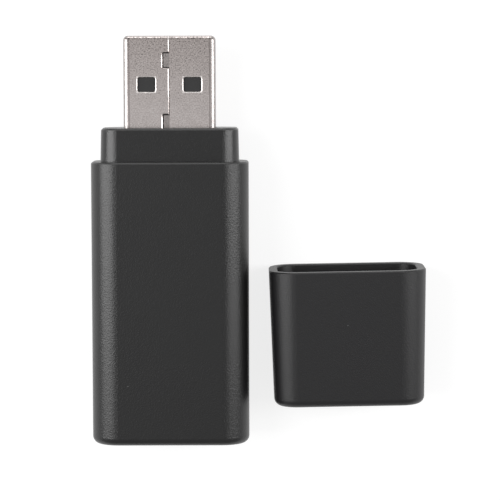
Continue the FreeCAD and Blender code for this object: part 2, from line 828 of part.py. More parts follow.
def leaded_package(label, size_name, leads, x, level):
    """Moulded package with bent leads along its two long sides."""
    body = new_body(label)
    length, width, thickness, span, pitch = (
        f"{size_name}_{part}" for part in ("length", "width", "thickness", "span", "pitch")
    )
    package = sketch_on(body, "XZ_Plane", f"{label}_package")
    polygon(package, [
        (f"-{width} / 2", "lead_thickness / 2"), (f"{width} / 2", "lead_thickness / 2"),
        (f"{width} / 2", f"{thickness} * 0.7"), (f"{width} / 2 - {thickness} * 0.15", thickness),
        (f"{thickness} * 0.15 - {width} / 2", thickness), (f"-{width} / 2", f"{thickness} * 0.7"),
    ])
    pad(body, package, length, middle=True)

    shoulder = f"({width} / 2 + lead_thickness)"
    level_low = f"({thickness} / 2 - lead_thickness)"
    lead = sketch_on(body, "XZ_Plane", f"{label}_lead", f"-{pitch} * {(leads - 1) / 2} - lead_width / 2")
    polygon(lead, [
        (f"{width} / 2 - lead_thickness", level_low), (shoulder, level_low), (shoulder, "0"),
        (f"{span} / 2", "0"), (f"{span} / 2", "lead_thickness"),
        (f"{shoulder} + lead_thickness", "lead_thickness"),
        (f"{shoulder} + lead_thickness", f"{thickness} / 2"),
        (f"{width} / 2 - lead_thickness", f"{thickness} / 2"),
    ])
    first = pad(body, lead, "lead_width")
    row = body.newObject("PartDesign::LinearPattern", f"{label}_lead_row")
    turn = body.newObject("PartDesign::Mirrored", f"{label}_lead_mirror")
    both = body.newObject("PartDesign::MultiTransform", f"{label}_leads")
    row.Direction = (origin_feature(body, "Y_Axis"), [""])
    row.Reversed = True
    row.setExpression("Length", bound(f"{pitch} * {leads - 1}"))
    row.Occurrences = leads
    turn.MirrorPlane = (origin_feature(body, "YZ_Plane"), [""])
    both.Originals = [first]
    both.Transformations = [row, turn]
    body.Tip = both
    doc.recompute()
    seat_on_board(body, x, level)
    return body


def crystal():
    """Ceramic tray with a welded metal lid."""
    body = new_body("crystal")
    base = sketch_on(body, "XY_Plane", "crystal_base")
    half_length, half_width = "crystal_length / 2", "crystal_width / 2"
    rectangle(base, f"-{half_length}", half_length, f"-{half_width}", half_width)
    pad(body, base, "crystal_thickness * 0.7")
    lid = sketch_on(body, "XY_Plane", "crystal_lid")
    rounded_rectangle(
        lid, "crystal_length - 2 * crystal_rim", "crystal_width - 2 * crystal_rim", "crystal_rim"
    )
    pad(body, lid, "crystal_thickness")
    seat_on_board(body, f"-{BOARD_WIDTH} / 3", board_row(RADIO_ROW))
    return body


def terminal_chip(label, sizes, x, level, count=1, pitch="0"):
    """Two-ended chip with wrapped terminals, or an evenly spaced column of them."""
    body = new_body(label)
    length, width, thickness = sizes
    block = sketch_on(body, "XY_Plane", f"{label}_block", "terminal_proud")
    rectangle(block, f"-{length} / 2", f"{length} / 2", f"-{width} / 2", f"{width} / 2")
    made = [pad(body, block, thickness)]
    for side in (-1, 1):
        ends = sketch_on(body, "XY_Plane", f"{label}_terminal")
        reach = [
            f"{side} * ({length} / 2 - terminal_length)",
            f"{side} * ({length} / 2 + terminal_proud)",
        ]
        rectangle(
            ends,
            *(reach if side > 0 else reversed(reach)),
            f"-{width} / 2 - terminal_proud",
            f"{width} / 2 + terminal_proud",
        )
        made.append(pad(body, ends, f"{thickness} + 2 * terminal_proud"))
    if count > 1:
        repeat(body, made, "Y_Axis", f"{pitch} * {count - 1}", count)
    seat_on_board(body, x, level)
    return body


def build_all():
    chip = ("chip_length", "chip_width", "chip_thickness")
    return [
        front_cover(),
        rear_cover(),
        cap(),
        usb_shell(),
        usb_insulator(),
        usb_contact("power_contact", "outer_contact_place", "outer_contact_setback"),
        usb_contact("data_minus_contact", "inner_contact_place", "inner_contact_setback"),
        usb_contact("data_plus_contact", "-inner_contact_place", "inner_contact_setback"),
        usb_contact("ground_contact", "-outer_contact_place", "outer_contact_setback"),
        circuit_board(),
        antenna_trace(),
        radio_chip(),
        crystal(),
        leaded_package(
            "memory_chip", "memory", MEMORY_LEAD_COUNT, f"{BOARD_WIDTH} / 4", board_row(MEMORY_ROW)
        ),
        leaded_package(
            "voltage_regulator",
            "regulator",
            REGULATOR_LEAD_COUNT,
            f"-{OUTER_COLUMN}",
            board_row(PLUG_POST_ROW),
        ),
        leaded_package(
            "protection_diode", "diode", DIODE_LEAD_COUNT, OUTER_COLUMN, board_row(PLUG_POST_ROW)
        ),
        terminal_chip(
            "bulk_capacitor",
            ("bulk_length", "bulk_width", "bulk_thickness"),
            f"-{OUTER_COLUMN}",
            board_row(MEMORY_ROW),
        ),
        terminal_chip(
            "ferrite_bead",
            ("bead_length", "bead_width", "bead_thickness"),
            f"-{OUTER_COLUMN}",
            board_row(BEAD_ROW),
        ),
        terminal_chip(
            "ceramic_capacitors",
            chip,
            CHIP_COLUMN,
            f"{board_row(RADIO_ROW)} + capacitor_pitch * {(CAPACITOR_COUNT - 1) / 2}",
            CAPACITOR_COUNT,
            "capacitor_pitch",
        ),
        terminal_chip(
            "resistors",
            chip,
            CHIP_COLUMN,
            f"{board_row(RESISTOR_ROW)} + resistor_pitch * {(RESISTOR_COUNT - 1) / 2}",
            RESISTOR_COUNT,
            "resistor_pitch",
        ),
    ]


def check(pieces):
    """Stop if any feature failed or any piece is not a sound solid."""
    doc.recompute()
    for item in doc.Objects:
        if "Invalid" in item.State or "Error" in item.State:
            raise RuntimeError(f"{item.Name} failed: {item.State}")
    for piece in pieces:
        if piece.Shape.isNull() or not piece.Shape.isValid() or not piece.Shape.Solids:
            raise RuntimeError(f"{piece.Label} is not a sound solid")


def main():
    pieces = build_all()
    check(pieces)
    os.makedirs("parts", exist_ok=True)
    for piece in pieces:
        piece.Shape.exportStep(f"parts/{piece.Label}.step")
        box = piece.Shape.BoundBox
        print(
            f"{piece.Label}: {len(piece.Shape.Solids)} solid, {piece.Shape.Volume:.2f} mm3,"
            f" x {box.XMin:.2f} {box.XMax:.2f}, y {box.YMin:.2f} {box.YMax:.2f},"
            f" z {box.ZMin:.2f} {box.ZMax:.2f}"
        )


main()
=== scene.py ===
import logging
import math
from collections.abc import Callable, Iterable, Sequence
from dataclasses import dataclass
from enum import Enum

import bpy
from mathutils import Matrix, Vector


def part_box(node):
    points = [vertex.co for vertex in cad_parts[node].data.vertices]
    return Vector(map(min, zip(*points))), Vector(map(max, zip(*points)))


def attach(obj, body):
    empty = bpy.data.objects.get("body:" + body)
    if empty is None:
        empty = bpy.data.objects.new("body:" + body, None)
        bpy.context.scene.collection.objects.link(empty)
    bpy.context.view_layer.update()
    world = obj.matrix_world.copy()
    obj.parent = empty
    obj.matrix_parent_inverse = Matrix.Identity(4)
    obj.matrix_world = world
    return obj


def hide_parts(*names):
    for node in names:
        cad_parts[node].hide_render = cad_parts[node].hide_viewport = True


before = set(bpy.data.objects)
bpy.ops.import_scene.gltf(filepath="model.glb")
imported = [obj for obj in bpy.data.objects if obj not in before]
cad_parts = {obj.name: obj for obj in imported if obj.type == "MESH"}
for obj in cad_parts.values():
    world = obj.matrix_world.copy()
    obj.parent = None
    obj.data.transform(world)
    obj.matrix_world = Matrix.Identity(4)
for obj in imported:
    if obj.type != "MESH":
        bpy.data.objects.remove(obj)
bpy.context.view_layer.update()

# A pocket wireless adapter that lies on its back on a white table, with its pull-off cap beside it.
# Everything is in metres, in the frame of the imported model: +Y runs along the plug and +Z up
# through the front face.

Colour = tuple[float, float, float]
Test = Callable[[list[Vector]], bool]
MM = 0.001
# Beyond every piece, for the open sides of a zone
FAR = 100.0 * MM
TINNED = {"colour": (0.70, 0.68, 0.65), "roughness": 0.36, "metallic": 1.0}

log = logging.getLogger("adapter")


class Axis(Enum):
    """Axes of the frame that edges and planes are found by, as the index of their coordinate."""

    Y = 1
    Z = 2


class Element(Enum):
    """Elements of a mesh that can be picked out."""

    EDGE = "EDGE"
    FACE = "FACE"


class Merge(Enum):
    """Ways to merge one piece with another."""

    CUT = "DIFFERENCE"
    FUSE = "UNION"


class Blend(Enum):
    """Kinds of mix, each with its data type, the places of its inputs and of its result."""

    COLOUR = ("RGBA", (0, 6, 7), 2)
    NUMBER = ("FLOAT", (0, 2, 3), 0)


class NodeSheet:
    """A node tree and the few calls that place and join its nodes."""

    def __init__(self, tree: bpy.types.NodeTree) -> None:
        """Start on an empty tree.

        Args:
            tree: The material's, world's or group's tree.
        """
        self.tree = tree
        self.tree.nodes.clear()

    def add(self, kind: str, **settings: object) -> bpy.types.Node:
        """Add a node and set its properties.

        Args:
            kind: The node's type name.
            settings: Properties to set on it.

        Returns:
            The new node.
        """
        node = self.tree.nodes.new(kind)
        for name, value in settings.items():
            setattr(node, name, value)
        return node

    def join(self, source: bpy.types.NodeSocket, target: bpy.types.NodeSocket) -> None:
        """Link an output to an input."""
        self.tree.links.new(source, target)

    def feed(self, node: bpy.types.Node, **inputs: object) -> None:
        """Set or link inputs by name, with spaces written as underscores.

        Args:
            node: The node whose inputs are set.
            inputs: A value, or an output socket to link.
        """
        for name, value in inputs.items():
            socket = node.inputs[name.replace("_", " ")]
            if isinstance(value, bpy.types.NodeSocket):
                self.join(value, socket)
            else:
                socket.default_value = value

    def maths(self, operation: str, *values: object) -> bpy.types.NodeSocket:
        """Math node of numbers or sockets.

        Args:
            operation: The node's operation, such as MULTIPLY.
            values: Its inputs in order, each a number or an output socket.

        Returns:
            The node's output.
        """
        return self._fill(self.add("ShaderNodeMath", operation=operation), range(3), values, 0)

    def vectors(self, operation: str, *values: object) -> bpy.types.NodeSocket:
        """Vector Math node of vectors or sockets, with a vector as its result."""
        node = self.add("ShaderNodeVectorMath", operation=operation)
        return self._fill(node, range(3), values, 0)

    def blend(
        self, kind: Blend, factor: object, first: object, second: object
    ) -> bpy.types.NodeSocket:
        """Mix two colours or two numbers.

        Args:
            kind: What is mixed.
            factor: The share of the second one.
            first: A value or an output socket.
            second: A value or an output socket.

        Returns:
            The node's output.
        """
        data_type, places, result = kind.value
        node = self.add("ShaderNodeMix", data_type=data_type)
        return self._fill(node, places, (factor, first, second), result)

    def _fill(
        self, node: bpy.types.Node, places: Iterable[int], values: Sequence[object], result: int
    ) -> bpy.types.NodeSocket:
        """Set or link inputs by their place and return one output.

        Args:
            node: The node.
            places: The places of its inputs.
            values: A number, vector or colour, or an output socket, for each of them.
            result: The place of the output.

        Returns:
            That output.
        """
        for place, value in zip(places, values):
            if isinstance(value, bpy.types.NodeSocket):
                self.join(value, node.inputs[place])
            else:
                node.inputs[place].default_value = value
        return node.outputs[result]


class EffectLibrary:
    """Shader groups that more than one finish uses, each built once."""

    def __init__(self) -> None:
        """Build the groups."""
        self.mottle = self._mottle()
        self.grain = self._grain()
        self.zone = self._zone()
        self.specks = self._specks()

    @staticmethod
    def _group(
        name: str,
        inputs: Sequence[tuple[str, str, object]],
        outputs: Sequence[tuple[str, str]],
    ) -> tuple[bpy.types.NodeTree, NodeSheet, bpy.types.Node, bpy.types.Node]:
        """Make a group with its sockets.

        Args:
            name: The group's name.
            inputs: Name, socket type and default value of each input.
            outputs: Name and socket type of each output.

        Returns:
            The group, its sheet, its input node and its output node.
        """
        tree = bpy.data.node_groups.new(name, "ShaderNodeTree")
        for label, kind, value in inputs:
            socket = tree.interface.new_socket(label, in_out="INPUT", socket_type=kind)
            if value is not None:
                socket.default_value = value
        for label, kind in outputs:
            tree.interface.new_socket(label, in_out="OUTPUT", socket_type=kind)
        sheet = NodeSheet(tree)
        return tree, sheet, sheet.add("NodeGroupInput"), sheet.add("NodeGroupOutput")

    def _mottle(self) -> bpy.types.NodeTree:
        """Slow change of tone with finer spots over it.

        Returns:
            A group that puts out a colour and a roughness.
        """
        tree, sheet, given, made = self._group(
            "tone_mottle",
            [
                ("Vector", "NodeSocketVector", None),
                ("Colour", "NodeSocketColor", (0.5, 0.5, 0.5, 1.0)),
                ("Spot Scale", "NodeSocketFloat", 5000.0),
                ("Cloud Scale", "NodeSocketFloat", 300.0),
                ("Spots", "NodeSocketFloat", 0.1),
                ("Clouds", "NodeSocketFloat", 0.1),
                ("Roughness", "NodeSocketFloat", 0.4),
                ("Roughness Change", "NodeSocketFloat", 0.05),
            ],
            [("Colour", "NodeSocketColor"), ("Roughness", "NodeSocketFloat")],
        )
        stretch, dulling = 4.0, -4.0
        layers = []
        for scale, share, detail in (("Spot Scale", "Spots", 2.0), ("Cloud Scale", "Clouds", 3.0)):
            noise = sheet.add("ShaderNodeTexNoise")
            sheet.feed(
                noise, Vector=given.outputs["Vector"], Scale=given.outputs[scale], Detail=detail
            )
            centred = sheet.maths("SUBTRACT", noise.outputs["Fac"], 0.5)
            stretched = sheet.maths("MULTIPLY", centred, stretch)
            layers.append(sheet.maths("MULTIPLY", stretched, given.outputs[share]))
        change = sheet.maths("ADD", *layers)
        factor = sheet.maths("MAXIMUM", sheet.maths("ADD", change, 1.0), 0.0)
        tinted = sheet.add("ShaderNodeVectorMath", operation="SCALE")
        sheet.feed(tinted, Vector=given.outputs["Colour"], Scale=factor)
        sheet.join(tinted.outputs["Vector"], made.inputs["Colour"])
        drift = sheet.maths("MULTIPLY", change, given.outputs["Roughness Change"])
        drift = sheet.maths("MULTIPLY", drift, dulling)
        rough = sheet.maths("ADD", given.outputs["Roughness"], drift)
        sheet.join(rough, made.inputs["Roughness"])
        return tree

    def _grain(self) -> bpy.types.NodeTree:
        """Height of a fine surface grain made of small pits and a softer swell.

        Returns:
            A group that puts out a height.
        """
        tree, sheet, given, made = self._group(
            "surface_grain",
            [
                ("Vector", "NodeSocketVector", None),
                ("Pit Scale", "NodeSocketFloat", 6000.0),
                ("Swell Scale", "NodeSocketFloat", 1500.0),
                ("Swell", "NodeSocketFloat", 0.4),
            ],
            [("Height", "NodeSocketFloat")],
        )
        place = given.outputs["Vector"]
        pits = sheet.add("ShaderNodeTexVoronoi", feature="SMOOTH_F1")
        sheet.feed(pits, Vector=place, Scale=given.outputs["Pit Scale"], Smoothness=0.6)
        swell = sheet.add("ShaderNodeTexNoise")
        sheet.feed(swell, Vector=place, Scale=given.outputs["Swell Scale"], Detail=2.0)
        soft = sheet.maths("MULTIPLY", swell.outputs["Fac"], given.outputs["Swell"])
        sheet.join(sheet.maths("ADD", pits.outputs["Distance"], soft), made.inputs["Height"])
        return tree

    def _zone(self) -> bpy.types.NodeTree:
        """Mask of what lies inside a box, with a soft edge that grows inwards.

        Returns:
            A group that puts out a mask from 0 to 1.
        """
        tree, sheet, given, made = self._group(
            "zone_mask",
            [
                ("Vector", "NodeSocketVector", None),
                ("Low", "NodeSocketVector", (0.0, 0.0, 0.0)),
                ("High", "NodeSocketVector", (1.0, 1.0, 1.0)),
                ("Softness", "NodeSocketFloat", 0.0001),
            ],
            [("Mask", "NodeSocketFloat")],
        )
        place, soft = given.outputs["Vector"], given.outputs["Softness"]
        width = sheet.add("ShaderNodeCombineXYZ")
        sheet.feed(width, X=soft, Y=soft, Z=soft)
        sides = []
        for ends in ((place, given.outputs["Low"]), (given.outputs["High"], place)):
            depth = sheet.vectors("DIVIDE", sheet.vectors("SUBTRACT", *ends), width.outputs[0])
            floor = sheet.vectors("MAXIMUM", depth, (0.0, 0.0, 0.0))
            sides.append(sheet.vectors("MINIMUM", floor, (1.0, 1.0, 1.0)))
        split = sheet.add("ShaderNodeSeparateXYZ")
        sheet.join(sheet.vectors("MULTIPLY", *sides), split.inputs[0])
        flat = sheet.maths("MULTIPLY", split.outputs[0], split.outputs[1])
        sheet.join(sheet.maths("MULTIPLY", flat, split.outputs[2]), made.inputs["Mask"])
        return tree

    def _specks(self) -> bpy.types.NodeTree:
        """Mask of a few tiny specks, such as dust and nicks.

        Returns:
            A group that puts out a mask from 0 to 1.
        """
        tree, sheet, given, made = self._group(
            "fine_specks",
            [
                ("Vector", "NodeSocketVector", None),
                ("Cell Scale", "NodeSocketFloat", 800.0),
                ("Radius", "NodeSocketFloat", 0.06),
                ("Share", "NodeSocketFloat", 0.2),
            ],
            [("Mask", "NodeSocketFloat")],
        )
        cells = sheet.add("ShaderNodeTexVoronoi", feature="F1")
        sheet.feed(cells, Vector=given.outputs["Vector"], Scale=given.outputs["Cell Scale"])
        near = sheet.maths("LESS_THAN", cells.outputs["Distance"], given.outputs["Radius"])
        split = sheet.add("ShaderNodeSeparateColor")
        sheet.join(cells.outputs["Color"], split.inputs[0])
        chosen = sheet.maths("LESS_THAN", split.outputs[0], given.outputs["Share"])
        sheet.join(sheet.maths("MULTIPLY", near, chosen), made.inputs["Mask"])
        return tree


@dataclass(frozen=True)
class Zone:
    """A box in which a finish changes, such as a terminal, a lead or a worn edge.

    Its softness is how far the change takes to come in from the box's sides, outside makes it the
    room round the box, and mottle is the share of the finish's spots that is left in it.
    """

    low: Sequence[float]
    high: Sequence[float]
    colour: Colour
    roughness: float
    metallic: float = 0.0
    softness: float = 0.02 * MM
    outside: bool = False
    mottle: float = 1.0

    def mask(
        self, sheet: NodeSheet, effects: EffectLibrary, place: bpy.types.NodeSocket
    ) -> bpy.types.NodeSocket:
        """Place the zone's mask in a material.

        Args:
            sheet: The material's sheet.
            effects: The shared shader groups.
            place: The piece's own coordinates.

        Returns:
            The mask's output.
        """
        box = sheet.add("ShaderNodeGroup", node_tree=effects.zone)
        sheet.feed(box, Vector=place, Low=self.low, High=self.high, Softness=self.softness)
        inside = box.outputs["Mask"]
        return sheet.maths("SUBTRACT", 1.0, inside) if self.outside else inside


@dataclass(frozen=True)
class Finish:
    """A finish with mottled tone and fine grain, on the piece's own coordinates."""

    name: str
    colour: Colour
    roughness: float
    metallic: float = 0.0
    specular: float = 0.5
    spot_size: float = 0.25 * MM
    cloud_size: float = 4.0 * MM
    spots: float = 0.1
    clouds: float = 0.06
    roughness_change: float = 0.03
    pit_size: float = 0.26 * MM
    swell_size: float = 0.7 * MM
    grain_height: float = 0.004 * MM
    speck_share: float = 0.0
    speck_cell: float = 1.1 * MM
    speck_colour: Colour = (0.25, 0.25, 0.25)
    zones: tuple[Zone, ...] = ()

    def material(self, effects: EffectLibrary) -> bpy.types.Material:
        """Build the material.

        Args:
            effects: The shared shader groups.

        Returns:
            The finished material.
        """
        material = bpy.data.materials.new(self.name)
        material.use_nodes = True
        sheet = NodeSheet(material.node_tree)
        place = sheet.add("ShaderNodeTexCoord").outputs["Object"]
        colour, roughness, metallic, spots = self.layers(sheet, effects, place)
        tone = sheet.add("ShaderNodeGroup", node_tree=effects.mottle)
        sheet.feed(
            tone,
            Vector=place,
            Colour=colour,
            Spot_Scale=1.0 / self.spot_size,
            Cloud_Scale=1.0 / self.cloud_size,
            Spots=spots,
            Clouds=self.clouds,
            Roughness=roughness,
            Roughness_Change=self.roughness_change,
        )
        shader = sheet.add("ShaderNodeBsdfPrincipled")
        sheet.feed(
            shader,
            Base_Color=self.dusted(sheet, effects, place, tone.outputs["Colour"]),
            Roughness=tone.outputs["Roughness"],
            Metallic=metallic,
            Specular_IOR_Level=self.specular,
            Normal=self.relief(sheet, effects, place),
        )
        output = sheet.add("ShaderNodeOutputMaterial")
        sheet.join(shader.outputs["BSDF"], output.inputs["Surface"])
        return material

    def layers(
        self, sheet: NodeSheet, effects: EffectLibrary, place: bpy.types.NodeSocket
    ) -> tuple[object, object, object, object]:
        """Lay the zones over the finish's own values.

        Args:
            sheet: The material's sheet.
            effects: The shared shader groups.
            place: The piece's own coordinates.

        Returns:
            Colour, roughness, metallic and the strength of the spots, each a value or an
            output socket.
        """
        colour: object = (*self.colour, 1.0)
        roughness: object = self.roughness
        metallic: object = self.metallic
        spots: object = self.spots
        for zone in self.zones:
            mask = zone.mask(sheet, effects, place)
            colour = sheet.blend(Blend.COLOUR, mask, colour, (*zone.colour, 1.0))
            roughness = sheet.blend(Blend.NUMBER, mask, roughness, zone.roughness)
            if zone.metallic != self.metallic:
                metallic = sheet.blend(Blend.NUMBER, mask, metallic, zone.metallic)
            if zone.mottle != 1.0:
                spots = sheet.blend(Blend.NUMBER, mask, spots, self.spots * zone.mottle)
        return colour, roughness, metallic, spots

    def dusted(
        self,
        sheet: NodeSheet,
        effects: EffectLibrary,
        place: bpy.types.NodeSocket,
        colour: bpy.types.NodeSocket,
    ) -> bpy.types.NodeSocket:
        """Scatter specks over the colour where the finish has any.

        Args:
            sheet: The material's sheet.
            effects: The shared shader groups.
            place: The piece's own coordinates.
            colour: The colour below.

        Returns:
            The colour with its specks.
        """
        if not self.speck_share:
            return colour
        specks = sheet.add("ShaderNodeGroup", node_tree=effects.specks)
        sheet.feed(specks, Vector=place, Cell_Scale=1.0 / self.speck_cell, Share=self.speck_share)
        return sheet.blend(Blend.COLOUR, specks.outputs["Mask"], colour, (*self.speck_colour, 1.0))

    def relief(
        self, sheet: NodeSheet, effects: EffectLibrary, place: bpy.types.NodeSocket
    ) -> bpy.types.NodeSocket:
        """Grain as a bump.

        Args:
            sheet: The material's sheet.
            effects: The shared shader groups.
            place: The piece's own coordinates.

        Returns:
            The bumped normal.
        """
        grain = sheet.add("ShaderNodeGroup", node_tree=effects.grain)
        sheet.feed(
            grain, Vector=place, Pit_Scale=1.0 / self.pit_size, Swell_Scale=1.0 / self.swell_size
        )
        bump = sheet.add("ShaderNodeBump")
        sheet.feed(bump, Strength=1.0, Distance=self.grain_height, Height=grain.outputs["Height"])
        return bump.outputs["Normal"]


class Workpiece:
    """A new mesh that starts as a block and is shaped step by step."""

    def __init__(self, name: str, low: Sequence[float], high: Sequence[float]) -> None:
        """Add a block at its size and place.

        Args:
            name: The piece's name.
            low: Its lowest corner.
            high: Its highest corner.
        """
        bpy.ops.object.select_all(action="DESELECT")
        low, high = Vector(low), Vector(high)
        bpy.ops.mesh.primitive_cube_add(size=1.0, location=(low + high) / 2, scale=high - low)
        bpy.ops.object.transform_apply(location=True, rotation=True, scale=True)
        self.piece = bpy.context.object
        self.piece.name = name

    def activate(self) -> None:
        """Make this piece the only one that is selected, and the active one."""
        bpy.ops.object.select_all(action="DESELECT")
        self.piece.select_set(True)
        bpy.context.view_layer.objects.active = self.piece

    def select(self, kind: Element, test: Test) -> int:
        """Select elements of the mesh by their place.

        Args:
            kind: Which elements are looked at.
            test: Takes an element's corners and says whether it is wanted.

        Returns:
            How many were selected.
        """
        self.activate()
        self.edit(bpy.ops.mesh.select_mode, type=kind.value)
        self.edit(bpy.ops.mesh.select_all, action="DESELECT")
        mesh = self.piece.data
        count = 0
        for element in mesh.polygons if kind is Element.FACE else mesh.edges:
            element.select = test([mesh.vertices[index].co for index in element.vertices])
            count += element.select
        return count

    def edit(self, operator: Callable[..., set], **options: object) -> None:
        """Run one edit-mode operator with its options."""
        bpy.ops.object.mode_set(mode="EDIT")
        operator(**options)
        bpy.ops.object.mode_set(mode="OBJECT")

    def bevel(self, width: float, segments: int, test: Test) -> None:
        """Round the edges that pass a test.

        Args:
            width: The bevel's width.
            segments: How many strips it has.
            test: Takes an edge's two ends.
        """
        if self.select(Element.EDGE, test):
            self.edit(bpy.ops.mesh.bevel, offset=width, segments=segments, affect="EDGES")

    def modify(self, kind: str, **settings: object) -> None:
        """Add a modifier, set it up and apply it.

        Args:
            kind: The modifier's type.
            settings: Its properties.
        """
        self.activate()
        modifier = self.piece.modifiers.new(kind.lower(), kind)
        for name, value in settings.items():
            setattr(modifier, name, value)
        bpy.ops.object.modifier_apply(modifier=modifier.name)

    def combine(self, other: "Workpiece", way: Merge) -> None:
        """Cut another piece out of this one or fuse it on, and use it up.

        Args:
            other: The other piece.
            way: Whether it is cut out or fused on.
        """
        self.modify("BOOLEAN", object=other.piece, operation=way.value, solver="EXACT")
        bpy.data.objects.remove(other.piece)

    def smooth(self, angle: float = 35.0) -> None:
        """Shade curved faces smooth and keep flat ones flat.

        Args:
            angle: The largest turn between faces that still counts as curved, in degrees.
        """
        self.activate()
        bpy.ops.object.shade_smooth_by_angle(angle=math.radians(angle))
        self.modify("WEIGHTED_NORMAL", keep_sharp=True)


def anywhere(corners: list[Vector]) -> bool:
    """Test that takes every element."""
    return True


def across(axis: Axis, place: float, tolerance: float = 0.002 * MM) -> Test:
    """Test for elements that lie in a plane across an axis.

    Args:
        axis: The axis that the plane stands across.
        place: Where the plane is.
        tolerance: How far off a corner may be.

    Returns:
        A test of an element's corners.
    """
    return lambda corners: all(abs(corner[axis.value] - place) < tolerance for corner in corners)


def along(axis: Axis, length: float) -> Test:
    """Test for edges that run along an axis.

    Args:
        axis: The axis.
        length: How far an edge has to reach along it at least.

    Returns:
        A test of an edge's two ends.
    """
    return lambda ends: abs(ends[0][axis.value] - ends[1][axis.value]) > length


@dataclass
class SubAssembly:
    """Pieces that belong together, with the shared effects that dress them."""

    effects: EffectLibrary

    def dress(self, finish: Finish, names: Iterable[str]) -> None:
        """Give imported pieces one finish.

        Args:
            finish: The finish to build.
            names: The names of the pieces.
        """
        material = finish.material(self.effects)
        for name in names:
            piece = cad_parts[name]
            piece.data.materials.clear()
            piece.data.materials.append(material)
            log.info("dressed %s with %s", name, finish.name)

    def fit(self, work: Workpiece, finish: Finish, node: str, slot: str) -> None:
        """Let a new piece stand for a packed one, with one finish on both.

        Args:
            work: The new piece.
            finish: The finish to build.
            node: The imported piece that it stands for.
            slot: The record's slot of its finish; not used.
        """
        self.dress(finish, [node])
        work.piece.data.materials.clear()
        work.piece.data.materials.append(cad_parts[node].data.materials[0])
        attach(work.piece, "root")
        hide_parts(node)
        log.info("built %s with %s", work.piece.name, finish.name)


@dataclass
class Housing(SubAssembly):
    """Front and rear cover of the adapter."""

    shoulder: float = 18.5 * MM
    rub_softness: float = 0.3 * MM

    def build(self) -> None:
        """Dress both covers in satin black, with a neck that the cap has rubbed smoother."""
        low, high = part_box("front_cover")
        neck = Zone(
            low=(low.x - self.rub_softness, self.shoulder, -high.z),
            high=(high.x + self.rub_softness, high.y + 2 * self.rub_softness, 2 * high.z),
            colour=(0.0055, 0.0055, 0.0057),
            roughness=0.31,
            softness=self.rub_softness,
        )
        self.dress(
            Finish(
                "satin_black_cover",
                colour=(0.004, 0.004, 0.0042),
                roughness=0.35,
                specular=0.57,
                spots=0.12,
                clouds=0.05,
                pit_size=0.18 * MM,
                grain_height=0.0145 * MM,
                speck_share=0.02,
                speck_colour=(0.09, 0.09, 0.09),
                zones=(neck,),
            ),
            ["front_cover", "rear_cover"],
        )


@dataclass
class Cap(SubAssembly):
    """Pull-off cap that lies beside the adapter."""

    def build(self) -> None:
        """Dress the cap in satin black."""
        self.dress(
            Finish(
                "satin_black_cap",
                colour=(0.0050, 0.0047, 0.0055),
                roughness=0.42,
                specular=0.51,
                spots=0.10,
                clouds=0.05,
                pit_size=0.18 * MM,
                grain_height=0.012 * MM,
                speck_share=0.06,
                speck_colour=(0.10, 0.10, 0.10),
            ),
            ["cap"],
        )


